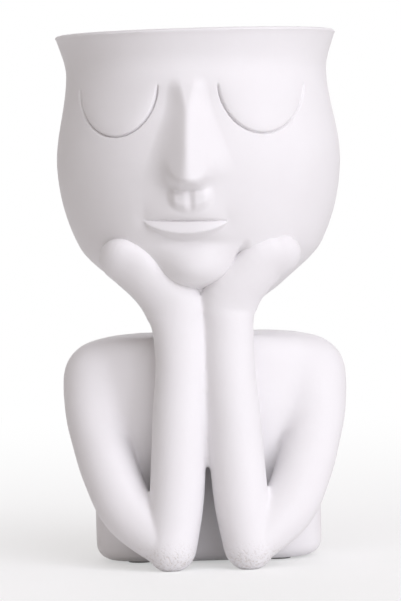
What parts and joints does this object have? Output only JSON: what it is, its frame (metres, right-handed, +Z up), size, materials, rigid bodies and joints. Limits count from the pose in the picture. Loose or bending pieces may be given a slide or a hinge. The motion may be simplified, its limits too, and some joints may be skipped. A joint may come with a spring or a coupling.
{
  "type": "head planter",
  "caption": "Cast figure planter whose open head is the pot, resting its cheeks in both hands, with a drained bowl and a plugged hollow torso.",
  "frame": {"origin": "on the table, under the middle of the planter's outline", "axes": "+Z up, -Y the side that the face looks to, +X to the viewer's right"},
  "size_m": [0.1082, 0.1132, 0.2],
  "materials": {
    "white_casting": "matte, fine grain",
    "plug_rubber": "matte",
    "pad_rubber": "matte"
  },
  "bodies": {
    "planter": {"head_bowl": "white_casting", "torso": "white_casting", "left_arm": "white_casting", "right_arm": "white_casting", "front_left_pad": "pad_rubber", "front_right_pad": "pad_rubber", "rear_left_pad": "pad_rubber", "rear_right_pad": "pad_rubber"},
    "plug": {"drain_plug": "plug_rubber"}
  },
  "joints": [
    {"name": "plug_pull", "type": "slide", "parent": "planter", "child": "plug", "axis": [0, 0, -1], "range_m": [0, 0.03]}
  ]
}
